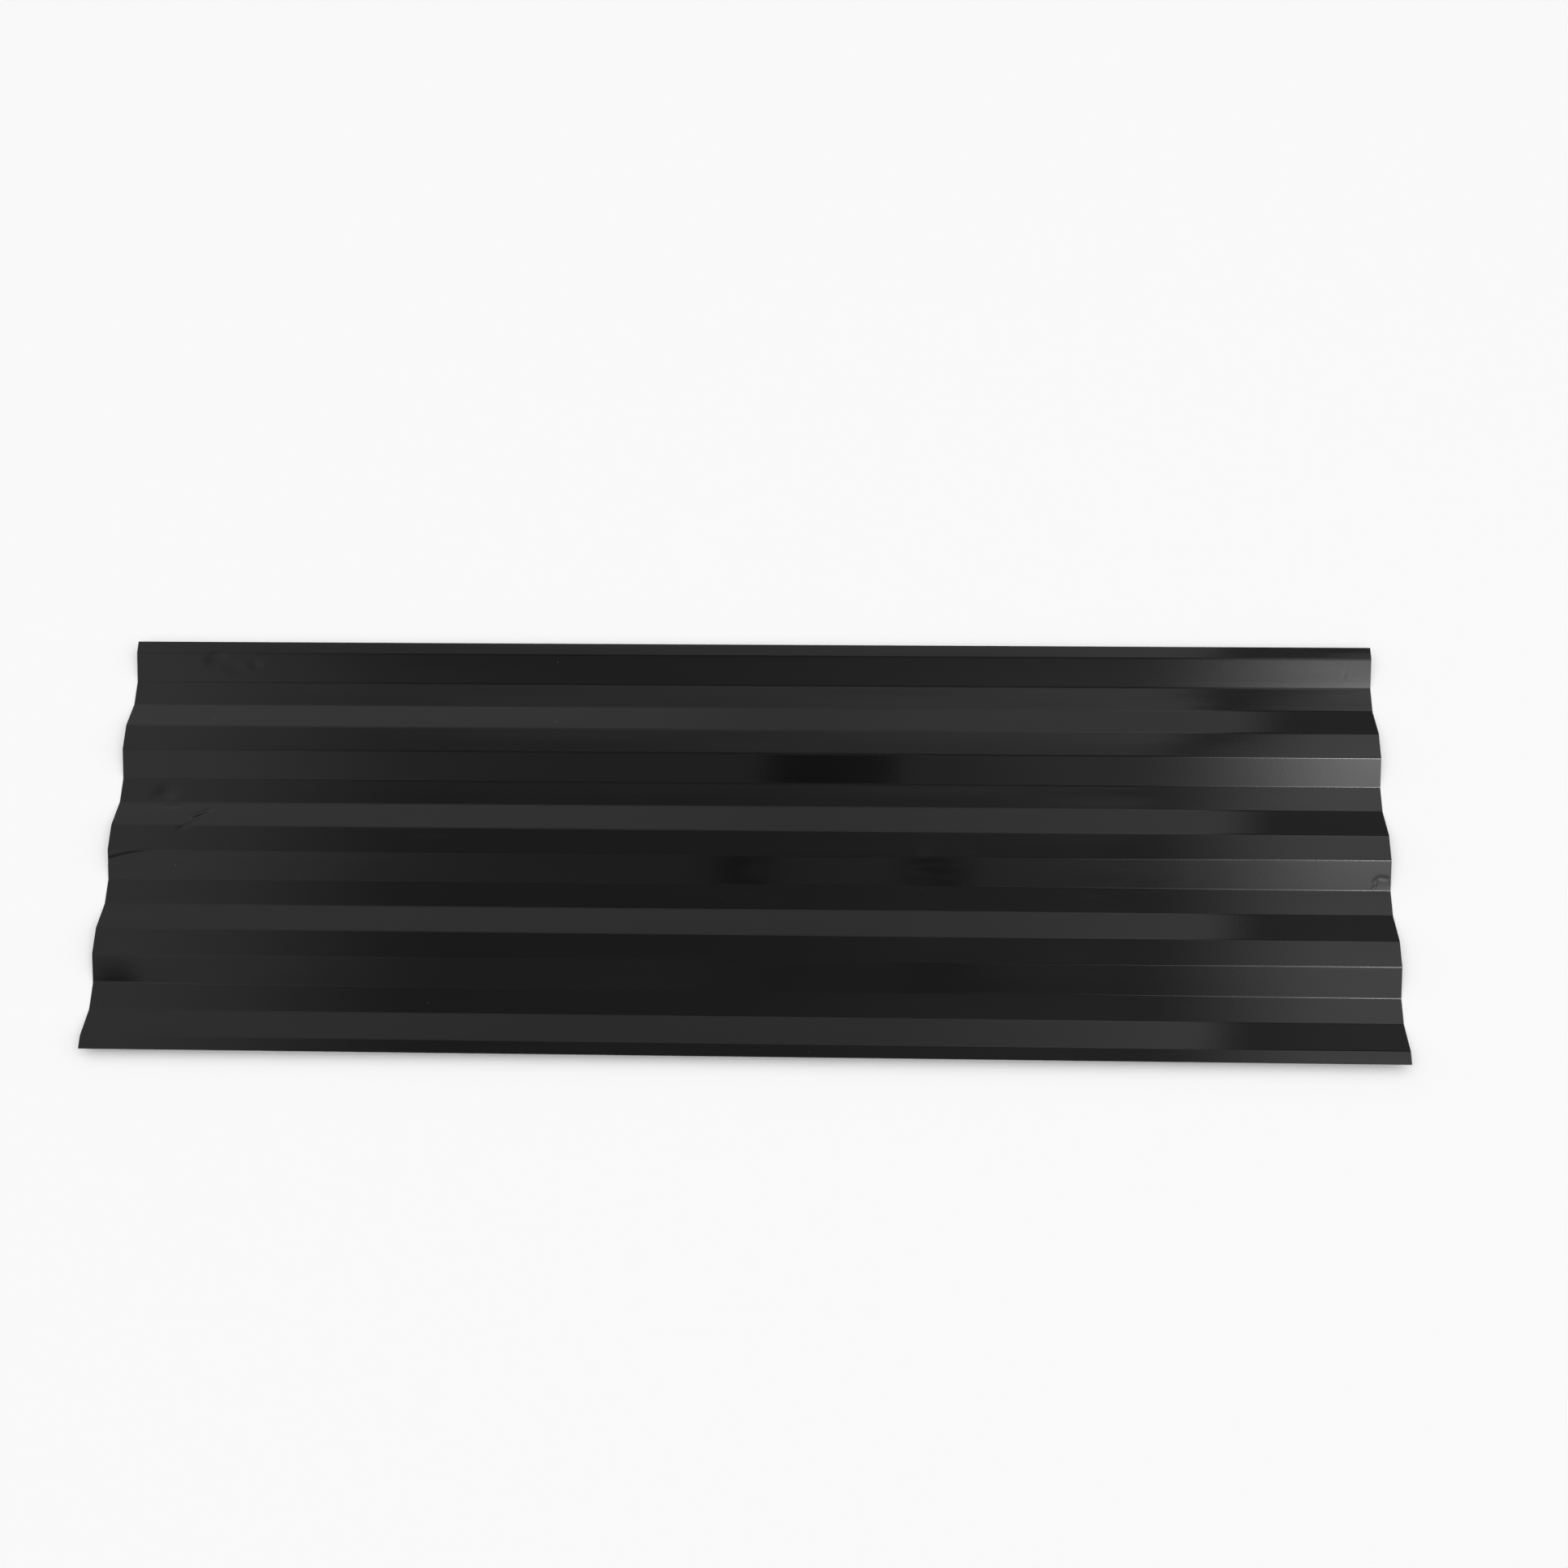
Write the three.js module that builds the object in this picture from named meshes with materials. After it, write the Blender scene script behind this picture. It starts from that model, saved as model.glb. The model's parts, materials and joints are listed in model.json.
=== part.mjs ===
// Kick plate: one sheet of painted steel, roll-formed into shallow trapezoidal ribs.
// Millimetres, +Z up. X runs along the ribs, Y across them, and the ribs stand up along +Z.
// The origin is at the middle of the sheet, on the plane that the backs of its valleys rest on.

import * as THREE from "three";

// Driving dimensions. Widths across the ribs run between the corners that the flats would
// meet at if the bends were sharp, measured at the middle of the steel.
const SHEET_LENGTH = 1290;
const VALLEYS = 4; // one crest between each two, and half a crest as a lip at each side
const VALLEY_FLAT = 25.8;
const CREST_FLAT = 26.4;
const WEB_RUN = 28.5; // how far each sloping web reaches across
const RIB_RISE = 10.9; // from a valley to a crest
const EDGE_LIP = 12.9;
const STEEL_THICKNESS = 0.4;
const BEND_RADIUS = 5; // at the middle of the steel
const BEND_FACETS = 6;

const paint = new THREE.MeshStandardMaterial({ color: 0x1d1d1e, roughness: 0.25, metalness: 0 });

// The corners of the section as if every bend were sharp, from the -Y edge to the +Y edge.
function sharpCorners() {
  const steps = [[EDGE_LIP, 0]];
  for (let valley = 0; valley < VALLEYS; valley++) {
    steps.push([WEB_RUN, -RIB_RISE], [VALLEY_FLAT, 0], [WEB_RUN, RIB_RISE]);
    if (valley < VALLEYS - 1) steps.push([CREST_FLAT, 0]);
  }
  steps.push([EDGE_LIP, 0]);

  const width = steps.reduce((sum, [across]) => sum + across, 0);
  const corner = new THREE.Vector2(-width / 2, RIB_RISE + STEEL_THICKNESS / 2);
  const corners = [corner.clone()];
  for (const [across, up] of steps) {
    corner.x += across;
    corner.y += up;
    corners.push(corner.clone());
  }
  return corners;
}

// One skin of the steel: the middle line moved by offset along its left-hand normal, as a
// row of points with a true arc of BEND_FACETS steps at each bend.
function skin(corners, offset) {
  const points = [];
  const leftOf = (direction) => new THREE.Vector2(-direction.y, direction.x);
  const headings = corners.slice(1).map((corner, i) => corner.clone().sub(corners[i]).normalize());

  points.push(corners[0].clone().addScaledVector(leftOf(headings[0]), offset));
  for (let i = 1; i < corners.length - 1; i++) {
    const before = headings[i - 1];
    const after = headings[i];
    const turn = after.angle() - before.angle();
    const bend = Math.atan2(Math.sin(turn), Math.cos(turn)); // above 0 where the line turns left
    const side = Math.sign(bend);
    const setback = BEND_RADIUS * Math.tan(Math.abs(bend) / 2);
    const centre = corners[i]
      .clone()
      .addScaledVector(before, -setback)
      .addScaledVector(leftOf(before), side * BEND_RADIUS);
    const radius = BEND_RADIUS - side * offset;
    for (let step = 0; step <= BEND_FACETS; step++) {
      const heading = before.angle() + (bend * step) / BEND_FACETS;
      const outward = new THREE.Vector2(Math.sin(heading), -Math.cos(heading)).multiplyScalar(side);
      points.push(centre.clone().addScaledVector(outward, radius));
    }
  }
  const last = corners.length - 1;
  points.push(corners[last].clone().addScaledVector(leftOf(headings[last - 1]), offset));
  return points;
}

function ribbedSheet() {
  const corners = sharpCorners();
  const back = skin(corners, -STEEL_THICKNESS / 2);
  const front = skin(corners, STEEL_THICKNESS / 2);
  const section = new THREE.Shape([...back, ...front.reverse()]);
  const geometry = new THREE.ExtrudeGeometry(section, {
    depth: SHEET_LENGTH,
    steps: 1,
    bevelEnabled: false,
  });
  const sheet = new THREE.Mesh(geometry, paint);
  sheet.name = "ribbed_sheet";
  // The section is drawn in Y and Z and pushed out along X.
  const across = new THREE.Vector3(0, 1, 0);
  const up = new THREE.Vector3(0, 0, 1);
  const along = new THREE.Vector3(1, 0, 0);
  sheet.setRotationFromMatrix(new THREE.Matrix4().makeBasis(across, up, along));
  sheet.position.x = -SHEET_LENGTH / 2;
  return sheet;
}

const kickPlate = new THREE.Group();
kickPlate.add(ribbedSheet());

export default kickPlate;
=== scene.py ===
"""Looks for the ribbed kick plate: one sheet of black painted steel on a pale studio floor.

Metres, in the same frame as the CAD: X along the ribs, Y across them, Z out of the painted face.
"""

import json
import math

import bpy
import numpy as np
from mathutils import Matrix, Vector, noise


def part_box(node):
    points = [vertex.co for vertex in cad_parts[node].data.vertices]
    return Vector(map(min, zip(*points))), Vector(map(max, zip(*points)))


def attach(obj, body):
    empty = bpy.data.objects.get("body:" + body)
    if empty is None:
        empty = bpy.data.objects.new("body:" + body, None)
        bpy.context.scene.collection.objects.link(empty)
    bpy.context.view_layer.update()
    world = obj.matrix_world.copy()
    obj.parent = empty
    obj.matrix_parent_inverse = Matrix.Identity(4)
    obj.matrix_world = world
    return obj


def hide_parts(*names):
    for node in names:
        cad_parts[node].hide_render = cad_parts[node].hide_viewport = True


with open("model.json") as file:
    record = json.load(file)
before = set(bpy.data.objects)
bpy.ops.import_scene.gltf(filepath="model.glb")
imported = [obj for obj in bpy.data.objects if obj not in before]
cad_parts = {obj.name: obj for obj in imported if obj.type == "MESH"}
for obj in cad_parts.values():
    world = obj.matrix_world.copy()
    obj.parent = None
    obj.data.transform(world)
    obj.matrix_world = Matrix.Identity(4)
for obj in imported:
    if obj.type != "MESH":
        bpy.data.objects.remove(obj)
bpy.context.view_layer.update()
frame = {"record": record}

MM = 0.001
SHEET = "ribbed_sheet"

# Section dimensions, as in the CAD part: between sharp corners, at the middle of the steel.
VALLEY_FLAT = 25.8 * MM
WEB_RUN = 28.5 * MM
BEND_RADIUS = 5 * MM


def mounts(prefix):
    """The places of the record's mounts whose names start with prefix."""
    return [Vector(m["pos_m"]) for m in frame["record"]["mounts"] if m["name"].startswith(prefix)]


LOW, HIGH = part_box(SHEET)
SCREW_SEATS = mounts("screw_seat")
VALLEYS = sorted(seat.y for seat in SCREW_SEATS)
STEEL = SCREW_SEATS[0].z - LOW.z
RISE = HIGH.z - LOW.z - STEEL
PITCH = VALLEYS[1] - VALLEYS[0]
CREST_FLAT = PITCH - VALLEY_FLAT - 2 * WEB_RUN
EDGE_LIP = HIGH.y - VALLEYS[-1] - VALLEY_FLAT / 2 - WEB_RUN


# ---------------------------------------------------------------------------
# The section: its middle line, from the -Y edge to the +Y edge
# ---------------------------------------------------------------------------

ON_BEND = -1  # stands for a flat's number where a point is on a bend
BEND_STEPS = 7
# Shares of the way across a flat. The first and last two keep its edges flat.
FLAT_STOPS = (0.0, 0.03, *np.linspace(0.13, 0.87, 8), 0.97, 1.0)
CREASED_STOPS = (0.0, 0.03, *np.linspace(0.075, 0.925, 21), 0.97, 1.0)
CREASED_FLATS = (3, 7, 9)  # counted from the -Y edge; small marks need closer stops
# Along X: each span ends at a place and is cut at a spacing, both in mm. The middle of the
# sheet only bulges slowly, and the marks near its ends are small.
SPANS = ((-600, 4), (-545, 1.2), (-505, 4), (600, 28), (610, 4), (645, 1.2))


def sharp_corners():
    """Section corners as if every bend were sharp, as (y, z) arrays."""
    steps = [(EDGE_LIP, 0)]
    for number in range(len(VALLEYS)):
        steps += [(WEB_RUN, -RISE), (VALLEY_FLAT, 0), (WEB_RUN, RISE)]
        if number < len(VALLEYS) - 1:
            steps.append((CREST_FLAT, 0))
    steps.append((EDGE_LIP, 0))
    start = np.array([LOW.y, HIGH.z - STEEL / 2])
    return start + np.vstack([[0, 0], np.cumsum(steps, axis=0)])


def section():
    """Points of the middle line, their normals, which flat each is on and how far across that
    flat it is, from 0 to 1."""
    corners = sharp_corners()
    headings = np.diff(corners, axis=0)
    headings /= np.linalg.norm(headings, axis=1)[:, None]
    angles = np.arctan2(headings[:, 1], headings[:, 0])
    turns = np.diff(angles)
    setbacks = BEND_RADIUS * np.tan(np.abs(turns) / 2)

    rows = []  # y, z, heading angle, flat number, share across the flat
    for flat, angle in enumerate(angles):
        start = corners[flat].copy()
        end = corners[flat + 1].copy()
        if flat > 0:
            start += headings[flat] * setbacks[flat - 1]
        if flat < len(turns):
            end -= headings[flat] * setbacks[flat]
        for share in CREASED_STOPS if flat in CREASED_FLATS else FLAT_STOPS:
            point = start + (end - start) * share
            rows.append((*point, angle, flat, share))
        if flat == len(turns):
            break
        turn = turns[flat]
        side = math.copysign(1, turn)
        left = np.array([-headings[flat][1], headings[flat][0]])
        centre = end + left * side * BEND_RADIUS
        for step in range(1, BEND_STEPS):
            heading = angle + turn * step / BEND_STEPS
            outward = side * np.array([math.sin(heading), -math.cos(heading)])
            rows.append((*(centre + outward * BEND_RADIUS), heading, ON_BEND, 0.0))
    rows = np.array(rows)
    points = rows[:, :2]
    normals = np.stack([-np.sin(rows[:, 2]), np.cos(rows[:, 2])], axis=1)
    return points, normals, rows[:, 3].astype(int), rows[:, 4]


# ---------------------------------------------------------------------------
# How the real sheet departs from its drawing
# ---------------------------------------------------------------------------

OIL_CAN_DEPTH = 0.09 * MM  # the flats' gentle bulges and hollows
OIL_CAN_WAVE = 150 * MM
CREEP_DEPTH = 0.05 * MM  # slow unevenness of the whole sheet
CREEP_WAVE = 260 * MM

KNOCK_DEPTH = 0.68 * MM
KNOCK_MIDDLE = 22 * MM  # from the -X end
KNOCK_REACH = 33 * MM
KNOCK_SPREAD_DEPTH = 0.28 * MM  # the shallow push around it
KNOCK_SPREAD_REACH = 150 * MM
KNOCK_RETURN = 0.05  # the share of the web, at its foot, over which the knock dies out

GROOVE_DEPTH = 0.32 * MM
GROOVE_HALF_WIDTH = 4.5 * MM
GROOVE_LENGTH = 330 * MM
GROOVE_INSET = 1.5 * MM  # from the bend's corner, towards -Y
DROOP_LENGTH = 58 * MM
DROOP = 9 * MM

# Hollows from handling: the place of each one's middle (x, y), its reach along and across
# itself, all in mm, its turn from +X in degrees, and its depth in mm. A depth below 0 is a bump.
HOLLOWS = (
    # At the -X end, on the web on the +Y side of the middle crest: two short creases, the
    # ridge between them, and a shallow dent beside them.
    (-556, 29.5, 18, 3.8, 27, 0.28),
    (-569, 12.5, 13, 3.6, 20, 0.28),
    (-562, 21.5, 9, 3, 25, -0.14),
    (-589, 37, 14, 4, 0, 0.18),
    # Finger marks near the -X end.
    (-597, 53, 18, 11, 0, 0.42),
    (-561, 201, 17, 7, 10, 0.34),
    (-520, 194, 8, 6, 0, 0.28),
    (-539, 190, 18, 8, 0, 0.15),
    # At the +X end, on the web on the -Y side of the middle crest: a curled crease.
    (639, -36, 15, 10, 0, 0.10),
    (637, -29.5, 9, 3, -8, 0.12),
    (630, -32, 6, 3, 40, 0.14),
    (629, -38, 7, 3, 62, 0.14),
    # At the +X end, on the web nearest the +Y edge: a small dimple.
    (618, 190, 5, 2.6, 90, 0.04),
)


def bump(distance, reach):
    """1 at no distance, falling smoothly to 0 at reach."""
    share = np.clip(np.abs(distance) / reach, 0, 1)
    return (1 - share**2) ** 2


def oil_canning(stops, flats, shares):
    """Each flat bulges a little between its bends, by an amount that wanders along the sheet."""
    wander = np.array(
        [
            [noise.noise(Vector((x / OIL_CAN_WAVE, flat * 7.3, 0.5))) for flat in range(max(flats) + 1)]
            for x in stops
        ]
    )
    across = np.where(flats == ON_BEND, 0, np.sin(math.pi * shares) ** 2)
    return OIL_CAN_DEPTH * wander[:, np.maximum(flats, 0)] * across


def hollow(x, y, middle_x, middle_y, along, across, turn, depth):
    """One row of HOLLOWS, as metres along the normal."""
    turn = math.radians(turn)
    dx, dy = x / MM - middle_x, y / MM - middle_y
    u = (dx * math.cos(turn) + dy * math.sin(turn)) / along
    v = (dy * math.cos(turn) - dx * math.sin(turn)) / across
    return -depth * MM * bump(np.hypot(u, v), 1)


def knocked_web(x, y):
    """The web on the +Y side of the first valley, pushed in at the -X end, deepest at its foot."""
    top = VALLEYS[0] + VALLEY_FLAT / 2 + WEB_RUN
    share = np.clip((top - y) / WEB_RUN, 0, 1)
    foot = (0.3 * share + 0.7 * share**2) * (1 - bump(share - 1, KNOCK_RETURN))
    knock = KNOCK_DEPTH * bump(x - LOW.x - KNOCK_MIDDLE, KNOCK_REACH)
    return -foot * (knock + KNOCK_SPREAD_DEPTH * bump(x - LOW.x, KNOCK_SPREAD_REACH))


def drooping_bend(x, y):
    """A shallow groove along the bend on the -Y side of the middle crest, deeper and deeper
    towards the -X end, where it leaves the bend and droops towards -Y."""
    bend = VALLEYS[1] + VALLEY_FLAT / 2 + WEB_RUN
    droop = DROOP * (np.maximum(LOW.x + DROOP_LENGTH - x, 0) / DROOP_LENGTH) ** 2
    depth = GROOVE_DEPTH * np.maximum(1 - (x - LOW.x) / GROOVE_LENGTH, 0)
    return -depth * bump(y - bend + GROOVE_INSET + droop, GROOVE_HALF_WIDTH)


def handling_marks(x, y):
    """Dents and creases, in metres along the sheet's normal."""
    return knocked_web(x, y) + drooping_bend(x, y) + sum(hollow(x, y, *mark) for mark in HOLLOWS)


# ---------------------------------------------------------------------------
# The sheet
# ---------------------------------------------------------------------------

FRONT, BACK, CUT_EDGE = range(3)  # material slots
SHARP_ANGLE = math.radians(40)  # sharper than any bend, blunter than a cut edge


def lengthwise_stops():
    """Places along X, closer together where the handling marks are."""
    stops = [LOW.x]
    for end, spacing in SPANS:
        end = min(end * MM, HIGH.x)
        count = max(round((end - stops[-1]) / (spacing * MM)), 1)
        stops += list(np.linspace(stops[-1], end, count + 1)[1:])
    return np.array(stops)


def make_sheet():
    """The rolled sheet as one closed mesh: front skin, back skin and four cut edges."""
    points, normals, flats, shares = section()
    stops = lengthwise_stops()
    rows, columns = len(stops), len(points)

    creep = [CREEP_DEPTH * noise.noise(Vector((x / CREEP_WAVE, 3.1, 9.4))) for x in stops]
    lift = np.array(creep)[:, None] + oil_canning(stops, flats, shares)
    lift += handling_marks(stops[:, None], points[None, :, 0])
    middle = np.zeros((rows, columns, 3))
    middle[:, :, 0] = stops[:, None]
    middle[:, :, 1:] = points[None] + normals[None] * lift[:, :, None]
    outward = np.zeros((1, columns, 3))
    outward[0, :, 1:] = normals
    front = middle + outward * STEEL / 2
    back = middle - outward * STEEL / 2

    count = rows * columns
    vertices = np.vstack([front.reshape(-1, 3), back.reshape(-1, 3)])
    faces, slots = [], []
    for i in range(rows - 1):
        for j in range(columns - 1):
            corner = i * columns + j
            quad = (corner, corner + columns, corner + columns + 1, corner + 1)
            faces.append(quad)
            slots.append(FRONT)
            faces.append(tuple(count + k for k in reversed(quad)))
            slots.append(BACK)
    rim = list(range(columns))
    rim += [i * columns + columns - 1 for i in range(1, rows)]
    rim += [(rows - 1) * columns + j for j in range(columns - 2, -1, -1)]
    rim += [i * columns for i in range(rows - 2, 0, -1)]
    for here, there in zip(rim, rim[1:] + rim[:1]):
        faces.append((here, there, count + there, count + here))
        slots.append(CUT_EDGE)

    mesh = bpy.data.meshes.new("rolled_sheet")
    mesh.from_pydata(vertices.tolist(), [], faces)
    mesh.polygons.foreach_set("material_index", slots)
    mesh.polygons.foreach_set("use_smooth", [True] * len(faces))
    mesh.set_sharp_from_angle(angle=SHARP_ANGLE)
    mesh.validate()
    mesh.update()
    sheet = bpy.data.objects.new("rolled_sheet", mesh)
    bpy.context.scene.collection.objects.link(sheet)
    return sheet


# ---------------------------------------------------------------------------
# Shader nodes
# ---------------------------------------------------------------------------


def add(tree, kind, **values):
    """A node with the given attributes; inputs are given as name__input=value."""
    node = tree.nodes.new(kind)
    for name, value in values.items():
        if name.endswith("__input"):
            node.inputs[name[: -len("__input")].replace("_", " ")].default_value = value
        else:
            setattr(node, name, value)
    return node


def maths(tree, operation, *values):
    """The result of a Math node; each value is a number or a socket."""
    node = add(tree, "ShaderNodeMath", operation=operation)
    for socket, value in zip(node.inputs, values):
        if isinstance(value, (int, float)):
            socket.default_value = value
        else:
            tree.links.new(value, socket)
    return node.outputs[0]


def product(tree, first, *rest):
    for value in rest:
        first = maths(tree, "MULTIPLY", first, value)
    return first


def total(tree, first, *rest):
    for value in rest:
        first = maths(tree, "ADD", first, value)
    return first


def soft_step(tree, value, start, end):
    """0 up to start, 1 from end, smooth between. If start is above end, it is 0 from start up
    and 1 from end down."""
    node = add(tree, "ShaderNodeMapRange", interpolation_type="SMOOTHSTEP")
    tree.links.new(value, node.inputs["Value"])
    rising = start < end
    node.inputs["From Min"].default_value = start if rising else end
    node.inputs["From Max"].default_value = end if rising else start
    node.inputs["To Min"].default_value = 0.0 if rising else 1.0
    node.inputs["To Max"].default_value = 1.0 if rising else 0.0
    return node.outputs["Result"]


def noise_map(tree, place, scale=1.0, stretch=(1, 1, 1), detail=2.0):
    """Noise, scale times stretch cells to the metre along X, Y and Z."""
    fit = add(tree, "ShaderNodeMapping", Scale__input=stretch)
    texture = add(tree, "ShaderNodeTexNoise", Scale__input=scale, Detail__input=detail)
    tree.links.new(place, fit.inputs["Vector"])
    tree.links.new(fit.outputs["Vector"], texture.inputs["Vector"])
    return texture.outputs["Fac"]


def specks(tree, place, scale, radius, share):
    """Round specks up to the given radius, scale cells to the metre, in a share of the cells."""
    cells = add(tree, "ShaderNodeTexVoronoi", Scale__input=scale)
    tree.links.new(place, cells.inputs["Vector"])
    random = add(tree, "ShaderNodeSeparateColor")
    tree.links.new(cells.outputs["Color"], random.inputs["Color"])
    chosen = maths(tree, "LESS_THAN", random.outputs["Red"], share)
    size = product(tree, random.outputs["Green"], radius * scale)
    inside = maths(tree, "LESS_THAN", cells.outputs["Distance"], size)
    return product(tree, chosen, inside)


def blend(tree, amount, first, second):
    """A colour that goes from first to second as amount goes from 0 to 1."""
    mix = add(tree, "ShaderNodeMix", data_type="RGBA")
    tree.links.new(amount, mix.inputs["Factor"])
    for socket, colour in ((mix.inputs[6], first), (mix.inputs[7], second)):
        if isinstance(colour, tuple):
            socket.default_value = (*colour, 1)
        else:
            tree.links.new(colour, socket)
    return mix.outputs[2]


def bump_from(tree, shader, *layers):
    """Bump from (height, depth in mm) layers."""
    height = total(tree, *[product(tree, value, depth) for value, depth in layers])
    node = add(tree, "ShaderNodeBump", Strength__input=1.0, Distance__input=MM)
    tree.links.new(height, node.inputs["Height"])
    tree.links.new(node.outputs["Normal"], shader.inputs["Normal"])


# ---------------------------------------------------------------------------
# Materials. Colours are linear, and noise scales are cells to the metre.
# ---------------------------------------------------------------------------


def new_material(name):
    """A material, its node tree and its shader."""
    material = bpy.data.materials.new(name)
    material.use_nodes = True
    tree = material.node_tree
    return material, tree, tree.nodes["Principled BSDF"]


def place_on_sheet(tree):
    """The place on the sheet, in metres."""
    return add(tree, "ShaderNodeTexCoord").outputs["Object"]


def front_paint():
    """Glossy black coil paint: fine orange peel, faint lines along the rolling direction,
    smears where hands wiped it, and a little dust."""
    paint, smeared, dusty = (0.0052, 0.0052, 0.0054), (0.0064, 0.0064, 0.0066), (0.11, 0.108, 0.10)
    base_roughness, line_roughness, smear_roughness, dust_roughness = 0.060, 0.024, 0.035, 0.4
    peel_depth, ripple_depth, dust_depth = 0.010, 0.006, 0.06  # mm
    material, tree, shader = new_material("black_coil_paint")
    place = place_on_sheet(tree)
    shader.inputs["IOR"].default_value = 1.5

    rolling = noise_map(tree, place, stretch=(1.6, 420, 420), detail=3.0)
    patches = noise_map(tree, place, 11.0, (0.7, 1, 1), detail=3.0)
    wiping = noise_map(tree, place, stretch=(26, 130, 130), detail=3.0)
    smear = product(tree, soft_step(tree, patches, 0.56, 0.72), soft_step(tree, wiping, 0.35, 0.65))
    dust = specks(tree, place, scale=45.0, radius=0.6 * MM, share=0.16)

    colour = blend(tree, dust, blend(tree, smear, paint, smeared), dusty)
    tree.links.new(colour, shader.inputs["Base Color"])
    roughness = total(
        tree,
        product(tree, rolling, line_roughness),
        product(tree, smear, smear_roughness),
        product(tree, dust, dust_roughness),
        base_roughness,
    )
    tree.links.new(roughness, shader.inputs["Roughness"])

    peel = noise_map(tree, place, 520.0, detail=1.0)
    ripple = noise_map(tree, place, stretch=(3, 300, 300), detail=1.0)
    bump_from(tree, shader, (peel, peel_depth), (ripple, ripple_depth), (dust, dust_depth))
    return material


def back_coat():
    """Thin grey-black backing lacquer, duller and more uneven than the front."""
    thick, thin = (0.042, 0.043, 0.045), (0.066, 0.067, 0.069)
    scuffed, dusty = (0.10, 0.10, 0.10), (0.17, 0.165, 0.155)
    base_roughness, line_roughness, scuff_roughness = 0.38, 0.14, 0.1
    grain_depth, line_depth = 0.01, 0.01  # mm
    material, tree, shader = new_material("backing_lacquer")
    place = place_on_sheet(tree)

    cloud = noise_map(tree, place, 9.0, detail=4.0)
    rolling = noise_map(tree, place, stretch=(2.2, 240, 240), detail=4.0)
    scuff = soft_step(tree, noise_map(tree, place, stretch=(5, 90, 90), detail=4.0), 0.62, 0.74)
    dust = specks(tree, place, scale=70.0, radius=0.5 * MM, share=0.12)

    thinness = total(tree, product(tree, cloud, 0.6), product(tree, rolling, 0.4))
    colour = blend(tree, thinness, thick, thin)
    colour = blend(tree, product(tree, scuff, 0.35), colour, scuffed)
    colour = blend(tree, dust, colour, dusty)
    tree.links.new(colour, shader.inputs["Base Color"])
    roughness = total(
        tree,
        product(tree, rolling, line_roughness),
        product(tree, scuff, scuff_roughness),
        base_roughness,
    )
    tree.links.new(roughness, shader.inputs["Roughness"])
    grain = noise_map(tree, place, 1400.0, detail=2.0)
    bump_from(tree, shader, (grain, grain_depth), (rolling, line_depth))
    return material


def cut_edge():
    """Sheared steel: dull bare metal with paint dragged over part of it."""
    dark_steel, light_steel, paint = (0.13, 0.13, 0.135), (0.21, 0.205, 0.20), (0.02, 0.02, 0.021)
    metal_share = 0.85
    paint_roughness, bare_extra_roughness = 0.38, 0.12
    grain_depth = 0.02  # mm
    material, tree, shader = new_material("sheared_edge")
    place = place_on_sheet(tree)

    dragged = soft_step(tree, noise_map(tree, place, 420.0, detail=3.0), 0.38, 0.58)
    bare = maths(tree, "SUBTRACT", 1.0, dragged)
    steel = blend(tree, noise_map(tree, place, 60.0, detail=3.0), dark_steel, light_steel)
    tree.links.new(blend(tree, dragged, steel, paint), shader.inputs["Base Color"])
    tree.links.new(product(tree, bare, metal_share), shader.inputs["Metallic"])
    roughness = total(tree, product(tree, bare, bare_extra_roughness), paint_roughness)
    tree.links.new(roughness, shader.inputs["Roughness"])
    bump_from(tree, shader, (noise_map(tree, place, 2500.0, detail=1.0), grain_depth))
    return material


# ---------------------------------------------------------------------------
# Studio
# ---------------------------------------------------------------------------

# The world's light is a radiance for each direction, and the glossy ribs mirror it. A direction
# is two angles in degrees: forward is its lean from straight up towards +Y, and right is its
# lean towards +X.

# Soft glows: radiance, forward, right, and the spread of each angle. Below 0 they darken.
GLOWS = (
    # Behind the camera, where the webs that fall towards -Y mirror them.
    (0.295, -19.6, 34, 4.9, 38),
    (2.1, -20.2, 19.9, 3.1, 2.6),
    (-0.05, -20, -6, 4, 5),
    (0.09, -23, -19, 5, 5),
    (0.10, -23, 9, 7, 5),
    (0.30, -16.5, 17.5, 1.5, 3),
    (0.07, -29, -3, 2.2, 7),
    # A little ahead of straight up, where the valleys, crests and lips mirror them.
    (0.15, 10, 6, 5, 5.3),
    (0.07, 9.5, -8.5, 2.5, 5),
    (0.07, 14.5, 10.3, 3.5, 1.8),
    (0.05, 18, 4.5, 1.3, 6.5),
    (-0.14, 10.2, 19.8, 1.0, 1.1),
    (0.09, 12.8, 19.2, 0.8, 1.4),
    (-0.10, 26.2, -21.3, 1.2, 1.6),
    (-0.18, 17.8, 19.4, 1.2, 2.0),
    (0.24, 20.3, 16, 1, 3),
    (0.22, 25.8, 16, 1.3, 1.2),
    (0.08, 25, -13, 5, 5),
    (-0.04, -29.5, -27, 2.2, 4),
    # Far ahead, where the webs that rise towards -Y mirror them.
    (0.13, 52, 20, 5, 4),
    (-0.09, 64, -1.5, 3, 2.5),
    (0.05, 66, -25, 2.2, 4),
    (-0.05, 53, -9, 2.5, 6),
)

# The dark shapes of the camera and its stand: how much each takes away, forward, right, and
# half its size each way.
STAND_SHAPES = (
    (0.27, -20.8, 0.2, 2.0, 2.45),
    (0.17, -24.5, -3.1, 2.0, 0.95),
    (0.22, -24.5, 4.15, 2.7, 1.1),
)
STAND_BLUR = (0.6, 0.35)  # half the width of a shape's soft edge, forward and right
# Softer darkness beside them, as glows.
STAND_HAZE = (
    (-0.02, -24.5, 0.5, 1.7, 3.0),
    (-0.08, -20.7, 5, 1.5, 1.8),
    (-0.08, -28.6, -1.5, 1.5, 2.0),
    (-0.10, -28.6, 4.2, 1.5, 1.8),
)

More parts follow.
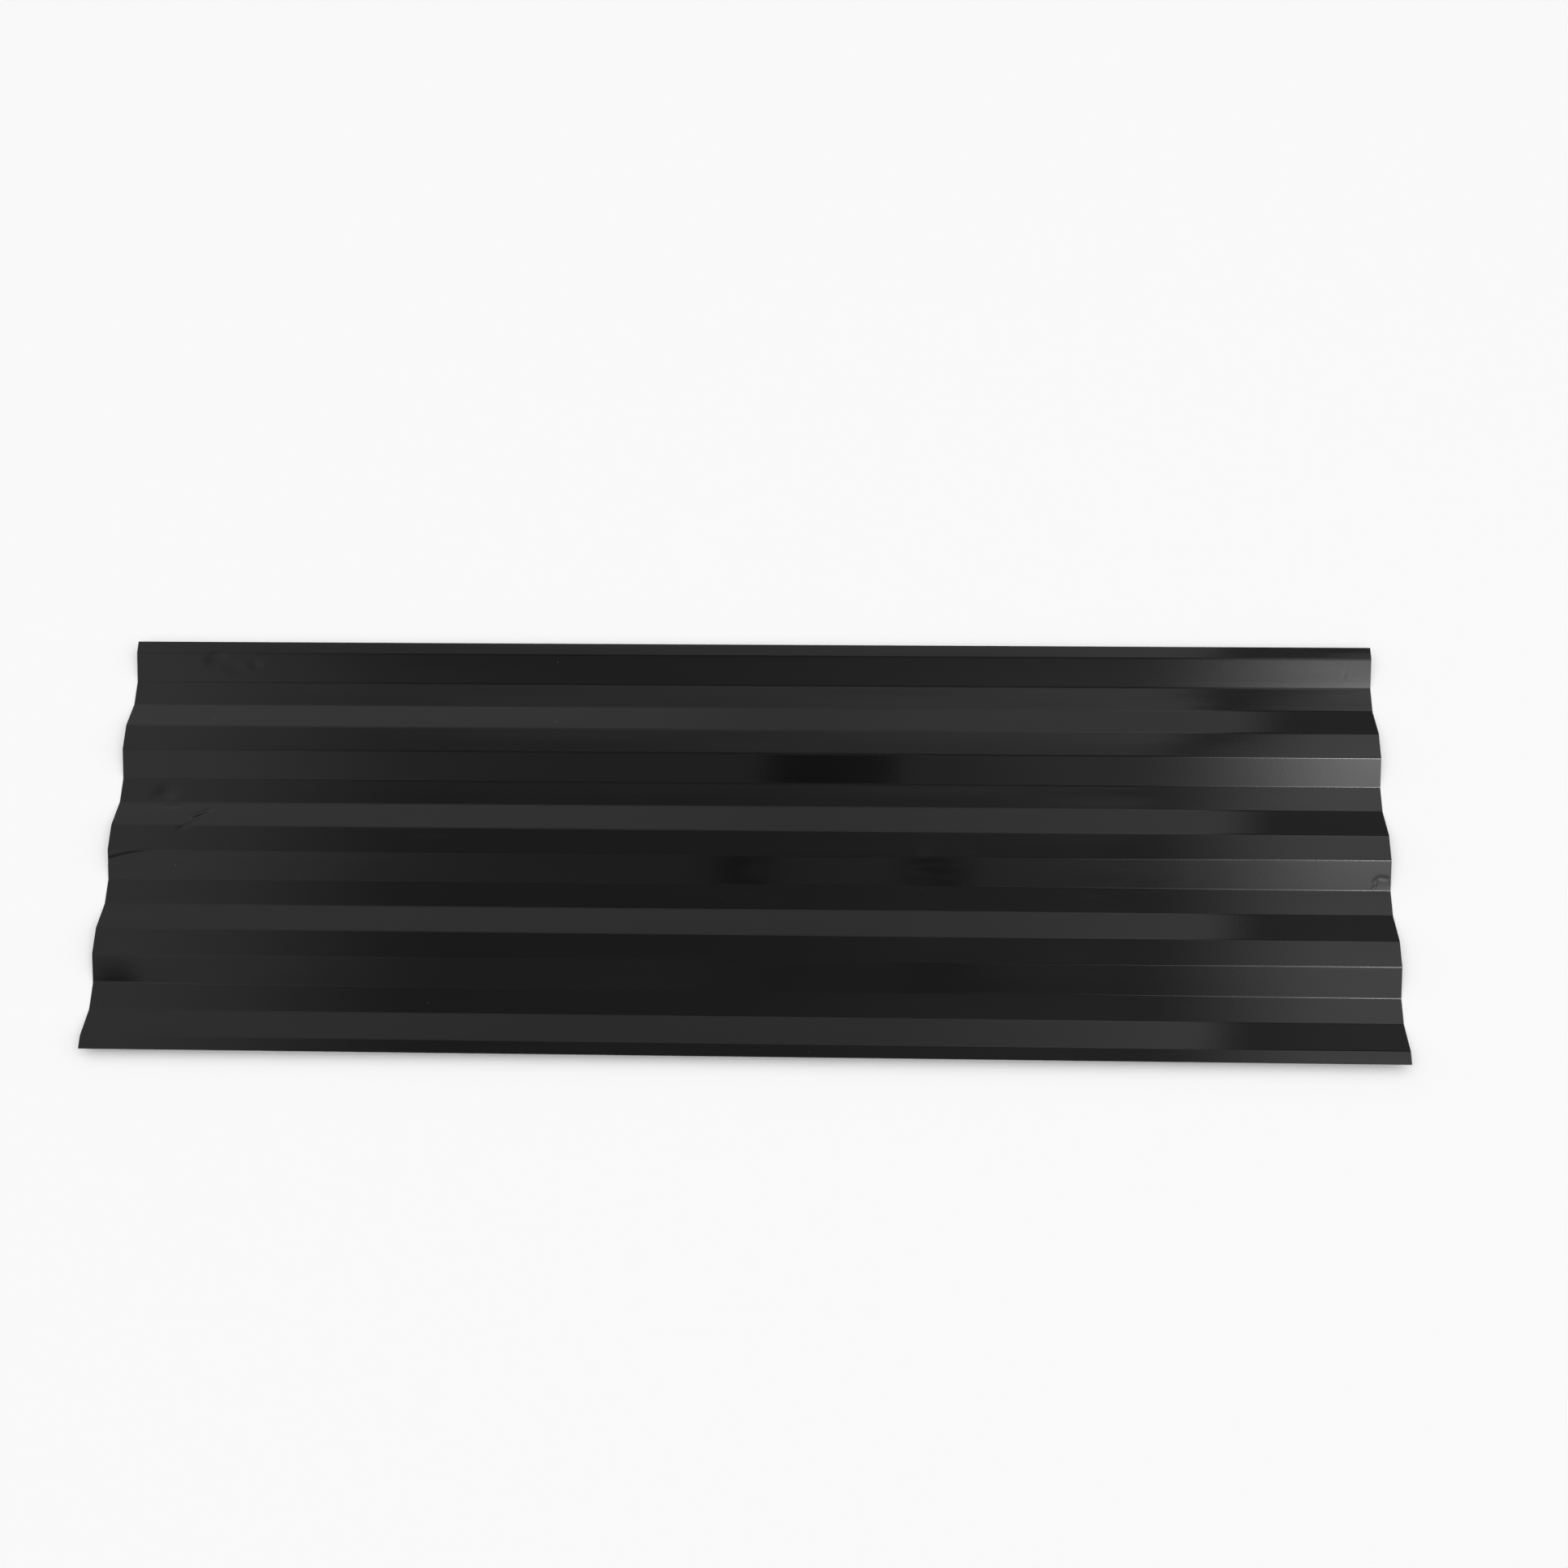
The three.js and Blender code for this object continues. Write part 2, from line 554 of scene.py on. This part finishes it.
ROOM_RADIANCE = 0.10
LEAST_RADIANCE = 0.01
BACKDROP_RADIANCE = 0.94  # what the camera itself sees of the world


def studio_light():
    """Soft light all round: a wall on the left, a far panel, a right panel and the glows."""
    world = bpy.data.worlds.new("studio")
    bpy.context.scene.world = world
    world.use_nodes = True
    tree = world.node_tree
    split = add(tree, "ShaderNodeSeparateXYZ")
    tree.links.new(add(tree, "ShaderNodeTexCoord").outputs["Generated"], split.inputs[0])
    x, y, z = split.outputs
    forward = maths(tree, "DEGREES", maths(tree, "ARCTAN2", y, z))
    right = maths(tree, "DEGREES", maths(tree, "ARCSINE", x))

    def off_centre(angle, middle, size):
        return maths(tree, "DIVIDE", maths(tree, "SUBTRACT", angle, middle), size)

    def glow(radiance, lean_forward, lean_right, spread_forward, spread_right):
        """A soft glow around one direction, wider or narrower each way."""
        off_forward = off_centre(forward, lean_forward, spread_forward)
        off_right = off_centre(right, lean_right, spread_right)
        square = total(
            tree,
            product(tree, off_forward, off_forward),
            product(tree, off_right, off_right),
        )
        return product(tree, maths(tree, "EXPONENT", product(tree, square, -0.5)), radiance)

    def shape(darkness, lean_forward, lean_right, half_forward, half_right):
        """A dark rectangle with soft edges around one direction."""
        parts = []
        for angle, lean, half, blur in (
            (forward, lean_forward, half_forward, STAND_BLUR[0]),
            (right, lean_right, half_right, STAND_BLUR[1]),
        ):
            off = maths(tree, "ABSOLUTE", maths(tree, "SUBTRACT", angle, lean))
            parts.append(soft_step(tree, off, half + blur, half - blur))
        return product(tree, *parts, -darkness)

    low = soft_step(tree, forward, 50, 30)
    high = maths(tree, "SUBTRACT", 1.0, low)
    far_right = product(
        tree,
        soft_step(tree, forward, 40, 48),
        soft_step(tree, right, 12, 18),
        0.12,
    )
    left_wall = product(
        tree,
        soft_step(tree, right, -13.7, -25.6),
        soft_step(tree, forward, -35, -28),
        low,
        0.44,
    )

    # The far panel has its near edge overhead and one corner cut off. Its low part is nearly
    # even, and its high part brightens forward and to the right.
    near_edge = total(tree, forward, product(tree, right, 0.09))
    corner = maths(tree, "SUBTRACT", forward, product(tree, right, 1.74))
    beyond = maths(tree, "MAXIMUM", forward, 53.0)
    side_edge = maths(tree, "SUBTRACT", right, product(tree, beyond, 0.11))
    panel_low = product(tree, low, total(tree, product(tree, right, 0.015), 0.485))
    past_middle = maths(tree, "MAXIMUM", maths(tree, "SUBTRACT", right, 3.0), 0.0)
    brightening = maths(tree, "SUBTRACT", 0.143, product(tree, forward, 0.0022))
    panel_high = product(
        tree,
        high,
        total(tree, product(tree, forward, 0.0067), product(tree, past_middle, brightening), 0.045),
    )
    far_panel = product(
        tree,
        soft_step(tree, near_edge, 18.1, 25.8),
        soft_step(tree, corner, -1.7, 2.3),
        soft_step(tree, side_edge, 9.3, 7.45),
        soft_step(tree, forward, 72, 67),
        total(tree, panel_low, panel_high),
    )

    # The right panel has a slanted far edge.
    slant = maths(tree, "SUBTRACT", product(tree, right, 0.62), forward)
    right_panel = product(
        tree,
        soft_step(tree, right, 10.9, 18.9),
        soft_step(tree, slant, -15.6, -11.6),
        soft_step(tree, forward, -44, -34),
    )

    glows = [glow(*row) for row in GLOWS + STAND_HAZE]
    stand = [shape(*row) for row in STAND_SHAPES]
    light = total(tree, left_wall, far_right, far_panel, right_panel, *glows, *stand, ROOM_RADIANCE)
    light = maths(tree, "MAXIMUM", light, LEAST_RADIANCE)

    mix = add(tree, "ShaderNodeMix", data_type="FLOAT", B__input=BACKDROP_RADIANCE)
    tree.links.new(add(tree, "ShaderNodeLightPath").outputs["Is Camera Ray"], mix.inputs["Factor"])
    tree.links.new(light, mix.inputs["A"])
    background = tree.nodes["Background"]
    tree.links.new(mix.outputs["Result"], background.inputs["Strength"])
    background.inputs["Color"].default_value = (1, 1, 1, 1)


LAMP_HEIGHT = 1.0
LAMP_WIDTH = 0.05


def strip_lamp(name, middle, length, radiance, rise):
    """A lamp along X, high above the sheet, which glints along the bends and lights nothing
    else. Its radiance goes from 0 at its -X end to the given value at its +X end, as the power
    rise of the way along."""
    data = bpy.data.lights.new(name, "AREA")
    data.shape = "RECTANGLE"
    data.size = length
    data.size_y = LAMP_WIDTH
    data.energy = math.pi * length * LAMP_WIDTH  # a radiance of 1 before its nodes
    data.use_nodes = True
    tree = data.node_tree
    split = add(tree, "ShaderNodeSeparateXYZ")
    tree.links.new(add(tree, "ShaderNodeNewGeometry").outputs["Parametric"], split.inputs[0])
    strength = product(tree, maths(tree, "POWER", split.outputs["X"], rise), radiance)
    tree.links.new(strength, tree.nodes["Emission"].inputs["Strength"])
    obj = bpy.data.objects.new(name, data)
    obj.location = (*middle, LAMP_HEIGHT)
    obj.visible_camera = False
    obj.visible_diffuse = False
    bpy.context.scene.collection.objects.link(obj)


def overhead_light():
    """A very wide soft light from straight above, which lights the floor but isn't mirrored."""
    data = bpy.data.lights.new("overhead", "SUN")
    data.energy = 1.75
    data.angle = math.radians(110)
    obj = bpy.data.objects.new("overhead", data)
    obj.visible_glossy = False
    bpy.context.scene.collection.objects.link(obj)


def floor():
    """A matt, nearly white floor, just clear of the sheet's lowest dent."""
    half = 8.0
    height = LOW.z - 0.6 * MM
    corners = [(x, y, height) for x, y in ((-half, -half), (half, -half), (half, half), (-half, half))]
    mesh = bpy.data.meshes.new("floor")
    mesh.from_pydata(corners, [], [(0, 1, 2, 3)])
    obj = bpy.data.objects.new("floor", mesh)
    bpy.context.scene.collection.objects.link(obj)
    paint, _, shader = new_material("floor_paint")
    shader.inputs["Base Color"].default_value = (0.92, 0.92, 0.92, 1)
    shader.inputs["Roughness"].default_value = 0.9
    mesh.materials.append(paint)


def camera():
    """Nearly overhead, 1.5 m up and half a metre towards -Y, at the photograph's angle."""
    data = bpy.data.cameras.new("camera")
    data.sensor_width = 36
    data.lens = 35.43
    data.shift_y = 0.0694
    obj = bpy.data.objects.new("camera", data)
    obj.location = (0.0827, -0.4925, 1.4828)
    obj.rotation_euler = [math.radians(a) for a in (16.662, 1.291, 0.952)]
    bpy.context.scene.collection.objects.link(obj)
    bpy.context.scene.camera = obj


camera()
studio_light()
strip_lamp("strip_lamp", (0.83, -0.19), length=0.46, radiance=48, rise=2.0)
strip_lamp("faint_strip_lamp", (0.64, -0.39), length=0.30, radiance=4.5, rise=0.6)
overhead_light()
floor()
bpy.context.scene.view_settings.view_transform = "Standard"

sheet = make_sheet()
for finish in (front_paint(), back_coat(), cut_edge()):
    sheet.data.materials.append(finish)
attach(sheet, "root")
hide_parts(SHEET)
